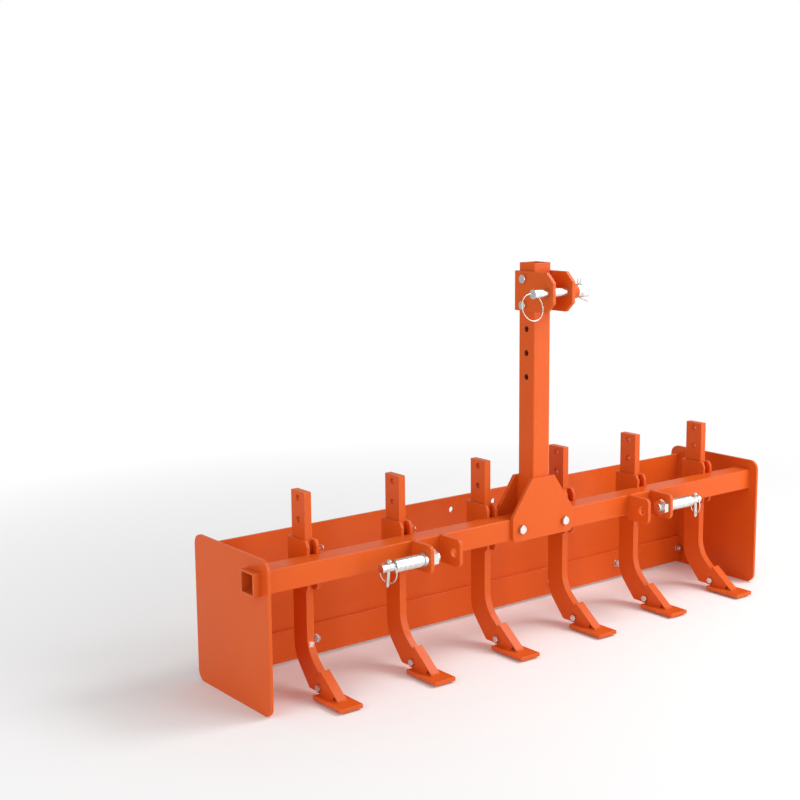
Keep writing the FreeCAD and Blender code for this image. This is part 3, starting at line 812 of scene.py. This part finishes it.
PEG_HEAD = mm([(0.1, 21), (3.5, 20.5), (6.5, 18), (7.2, 14.5), (6.6, 12)])
PEG_TIP = mm([(4, -49), (2.6, -52), (0.1, -52.6)])
peg_profile = PEG_HEAD + [(PEG_RADIUS, 11 * MM), (PEG_RADIUS, -46 * MM)] + PEG_TIP
peg = turned("peg", peg_profile, sides=24)
ring_middle = (0, 0, RING_HINGE - RING_RADIUS)
ring = wire("ring", arc(ring_middle, Z, Y, RING_RADIUS, 0, 345, 48), RING_WIRE, wire_zinc)
lynch_pin = combined("lynch_pin", [peg, ring])
hitch_axis = Vector((0, (hitch_low.y + hitch_high.y) / 2, (hitch_low.z + hitch_high.z) / 2))
lynch_spots = [hitch_axis + X * (hitch_low.x + LYNCH_INSET_LEFT),
               hitch_axis + X * (hitch_high.x - LYNCH_INSET_RIGHT)]
lynch_turns = [(math.radians(6), 0, math.radians(12)), (math.radians(-5), 0, math.radians(-20))]
put("lynch_pins", lynch_pin, list(zip(lynch_spots, lynch_turns)), wire_zinc, "frame")

# %% [markdown]
# The top-link pin is locked on the left by a large wire ring through a cross hole, and on the right by
# a split cotter whose two legs are bent apart.

# %% Locks of the top-link pin
LINK_RING_RADIUS = 36 * MM
LINK_RING_HANG = Vector((-10 * MM, -10 * MM, -33 * MM))
LINK_RING_LEAN = math.radians(-15)
LINK_RING_WIRE = 1.2 * MM
COLLAR_RADIUS = 19 * MM
COLLAR_LENGTH = 20 * MM
COLLAR_EDGE = 1 * MM
COTTER_INSET = 8 * MM
COTTER_WIRE = 1.5 * MM
COTTER_EYE = 6.5 * MM

link_axis = Vector((0, (link_low.y + link_high.y) / 2, (link_low.z + link_high.z) / 2))
ring_line = arc((0, 0, 0), X, Z, LINK_RING_RADIUS, 0, 360, 64)[:-1]
link_ring = wire("link_ring", ring_line, LINK_RING_WIRE, wire_zinc, cyclic=True)
ring_spot = link_axis + X * link_low.x + LINK_RING_HANG
put("link_pin_ring", link_ring, [(ring_spot, (LINK_RING_LEAN, 0, 0))], wire_zinc, "frame")

collar_profile = [
    (0.1 * MM, 0), (COLLAR_RADIUS - COLLAR_EDGE, 0), (COLLAR_RADIUS, COLLAR_EDGE),
    (COLLAR_RADIUS, COLLAR_LENGTH - COLLAR_EDGE), (COLLAR_RADIUS - COLLAR_EDGE, COLLAR_LENGTH),
    (0.1 * MM, COLLAR_LENGTH),
]
collar = turned("collar", collar_profile, sides=48)
collar_spot = Vector((boss_high.x, link_axis.y, link_axis.z))
put("link_pin_collar", collar, [(collar_spot, FACING["right"])], turned_zinc, "frame")

cotter_top = Vector((0, -7 * MM, 27 * MM))
cotter_line = mm([(15, -24, -28), (4, -6, -19), (1.6, 0, -14), (1.6, 0, 14)])
cotter_line += arc(cotter_top, X, Z, COTTER_EYE, -60, 240, 20)
cotter_line += mm([(-1.6, 0, 14), (-1.6, 0, -14), (0, -7, -17), (14, -28, -12)])
cotter = wire("cotter", cotter_line, COTTER_WIRE, wire_zinc)
cotter_spot = link_axis + X * (link_high.x - COTTER_INSET)
put("link_pin_cotter", cotter, [(cotter_spot, (0, 0, 0))], wire_zinc, "frame")

# %% [markdown]
# Welds run wherever plates meet the bar. A bead is a row of small overlapping scales, one for each
# dip of the electrode. A tree lays squashed balls along a line, with a little chance in their
# size, and the whole line becomes one mesh under the same orange coat.

# %% Weld beads
BEAD_STEP = 3.0 * MM
BEAD_HALF = 2.8 * MM
SMALLEST_SCALE = (0.85, 0.85, 0.8)
LARGEST_SCALE = (1.15, 1.15, 1.05)


def bead_graph():
    graph = Graph("weld_bead", [
        ("Lines", "NodeSocketGeometry"), ("Step", "NodeSocketFloat"), ("Half Width", "NodeSocketFloat"),
        ("Seed", "NodeSocketInt"), ("Material", "NodeSocketMaterial"),
    ])
    given = graph.given
    points = graph.node("GeometryNodeCurveToPoints", {"mode": "LENGTH"},
                        {"Curve": given["Lines"], "Length": given["Step"]})
    ball = graph.node("GeometryNodeMeshIcoSphere", None,
                      {"Radius": given["Half Width"], "Subdivisions": 2})["Mesh"]
    smooth = graph.node("GeometryNodeSetShadeSmooth", None, {"Geometry": ball})["Geometry"]
    limits = {"Min": SMALLEST_SCALE, "Max": LARGEST_SCALE, "Seed": given["Seed"]}
    chance = graph.node("FunctionNodeRandomValue", {"data_type": "FLOAT_VECTOR"}, limits)["Value"]
    copies = graph.node("GeometryNodeInstanceOnPoints", None, {
        "Points": points["Points"], "Instance": smooth, "Rotation": points["Rotation"], "Scale": chance,
    })["Instances"]
    return graph.finish(copies, given["Material"])


weld_bead = bead_graph()


def weld(name, lines, body, material, seed, half=BEAD_HALF):
    """One piece of beads along lines, each a list of points."""
    source = curve_of(f"{name}_lines", lines)
    piece = weld_bead.apply(name, source, Step=BEAD_STEP, Half_Width=half, Seed=seed, Material=material)
    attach(piece, body)
    print(name, len(lines), "lines,", len(piece.data.polygons), "faces")


# %% [markdown]
# The bar is welded all round at both faces of each end plate. Each pocket has a bead down both its
# sides, each ear one on both faces, and the mast one where it stands on the bar.

# %% Welds on the bar
POCKET_HALF = 18.5 * MM
MIDDLE_BEAD = 2.6 * MM
EAR_HALF = 5 * MM
EAR_PITCH = 94 * MM
SMALL_BEAD = 2.4 * MM


def around_bar(x):
    corners = [(bar_front, bar_low.z), (bar_back, bar_low.z), (bar_back, bar_top), (bar_front, bar_top)]
    return [(x, y, z) for y, z in corners + corners[:1]]


plate_faces = [plate_low.x, plate_high.x, -plate_high.x, -plate_low.x]
weld("welds_bar_ends", [around_bar(x) for x in plate_faces], "frame", bead_orange, 1)

pocket_front = pockets_low.y
lines = []
for x in shank_places:
    for side in (-1, 1):
        face = x + POCKET_HALF * side
        lines.append([(face, pocket_front, bar_top), (face, bar_back, bar_top),
                      (face, bar_back, bar_low.z), (face, pocket_front, bar_low.z)])
weld("welds_pockets", lines, "frame", bead_orange, 2, MIDDLE_BEAD)

ear_middles = [ears_low.x + EAR_HALF, ears_low.x + EAR_HALF + EAR_PITCH]
lines = []
for middle in ear_middles + [-x for x in ear_middles]:
    for side in (-1, 1):
        face = middle + EAR_HALF * side
        lines.append([(face, bar_front, bar_low.z), (face, bar_front, bar_top)])
weld("welds_ears", lines, "frame", bead_orange, 3, SMALL_BEAD)

lines = []
for side in (-1, 1):
    x = mast_high.x * side
    lines.append([(x, bar_front, gusset_high.z), (x, bar_front, bar_top),
                  (x, bar_back, bar_top), (x, bar_back, gusset_high.z)])
weld("welds_mast", lines, "frame", bead_orange, 4)

# %% [markdown]
# The moldboard is welded to both end plates, the boss to its clevis plate, and the nose of each
# point's cover to the sole.

# %% The other welds
BOARD_WALL = 6 * MM
BOARD_BEAD_FOOT = 30 * MM
BOSS_RADIUS = 20 * MM
SOLE_WALL = 10 * MM
NOSE_FOOT = 39 * MM
FIRST_POINT_SEED = 11

lines = []
for side in (-1, 1):
    x = board_high.x * side
    front = board_high.y - BOARD_WALL
    lines.append([(x, board_high.y, BOARD_BEAD_FOOT), (x, board_high.y, board_high.z)])
    lines.append([(x, front, BOARD_KNEE), (x, front, board_high.z)])
weld("welds_board", lines, "frame", bead_orange, 5)

boss_ring = arc((clevis_right_face, link_axis.y, link_axis.z), Y, Z, BOSS_RADIUS, 0, 360, 40)
weld("welds_boss", [boss_ring], "frame", bead_orange, 6, SMALL_BEAD)

for number, body in enumerate(SCARIFIERS, start=1):
    low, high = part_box(f"point_{number}")
    x = shank_places[number - 1]
    foot, height = low.y + NOSE_FOOT, low.z + SOLE_WALL
    line = [(x - CHEEK_FACE, foot, height), (x + CHEEK_FACE, foot, height)]
    seed = FIRST_POINT_SEED + number - 1
    weld(f"welds_point_{number}", [line], body, bead_orange, seed, MIDDLE_BEAD)

# %% [markdown]
# The stage is plain: a pale floor, a white surround, one large soft light in front at the right, a
# weaker one at the left, and a small one high at the right for the gloss on the sloping points. The
# white behind the machine is a colour that only the camera sees, not more light on the machine. The
# floor keeps the shadow and turns to the same white farther out, so that no horizon shows.

# %% Floor, surround and lights
FLOOR_HALF = 30.0
FADE_START = 1.1
FADE_END = 2.8
FLOOR_PALE = (0.94, 0.94, 0.94, 1)
WHITE = (1, 1, 1, 1)
AMBIENT = 0.52
LIGHTS = [
    {"name": "key", "place": (2.8, -4.2, 2.2), "target": (0, 0, 0.5), "size": 4.4, "power": 165},
    {"name": "left", "place": (-4.6, -1.2, 1.9), "target": (0, 0, 0.4), "size": 3.4, "power": 62},
    {"name": "top", "place": (2.2, -1.0, 3.4), "target": (0, 0, 0.3), "size": 1.4, "power": 60},
]


def make_floor():
    mesh = bpy.data.meshes.new("floor")
    corners = [(-1, -1), (1, -1), (1, 1), (-1, 1)]
    mesh.from_pydata([(x * FLOOR_HALF, y * FLOOR_HALF, 0) for x, y in corners], [], [(0, 1, 2, 3)])
    floor = bpy.data.objects.new("floor", mesh)
    bpy.context.collection.objects.link(floor)
    pale = Recipe("floor_pale")
    near = pale.node("ShaderNodeBsdfPrincipled", None,
                     {"Base Color": FLOOR_PALE, "Roughness": 0.9, "Specular IOR Level": 0.0})
    white = pale.node("ShaderNodeEmission", None, {"Color": WHITE, "Strength": 1.0})
    distance = pale.node("ShaderNodeVectorMath", {"operation": "LENGTH"}, {0: pale.place()}, "Value")
    seen = pale.node("ShaderNodeLightPath", output="Is Camera Ray")
    share = pale.ramp(distance, FADE_START, FADE_END) * seen
    shader = pale.node("ShaderNodeMixShader", None, {0: share, 1: near, 2: white})
    mesh.materials.append(pale.finish(shader))


def make_world():
    world = bpy.data.worlds.new("surround")
    bpy.context.scene.world = world
    world.use_nodes = True
    tree = world.node_tree
    tree.nodes.clear()
    path = tree.nodes.new("ShaderNodeLightPath").outputs
    strength = tree.nodes.new("ShaderNodeMapRange")
    strength.inputs["To Min"].default_value = AMBIENT
    strength.inputs["To Max"].default_value = 1.0
    tree.links.new(path["Is Camera Ray"], strength.inputs["Value"])
    background = tree.nodes.new("ShaderNodeBackground")
    background.inputs["Color"].default_value = WHITE
    tree.links.new(strength.outputs[0], background.inputs["Strength"])
    output = tree.nodes.new("ShaderNodeOutputWorld")
    tree.links.new(background.outputs[0], output.inputs["Surface"])


def area_light(name, place, target, size, power):
    data = bpy.data.lights.new(name, "AREA")
    data.shape = "SQUARE"
    data.size = size
    data.energy = power
    lamp = bpy.data.objects.new(name, data)
    aim = (Vector(target) - Vector(place)).to_track_quat("-Z", "Y")
    lamp.matrix_world = Matrix.Translation(place) @ aim.to_matrix().to_4x4()
    bpy.context.collection.objects.link(lamp)


make_floor()
make_world()
for light in LIGHTS:
    area_light(**light)
bpy.context.scene.view_settings.view_transform = "Standard"
print("lights:", ", ".join(light["name"] for light in LIGHTS))
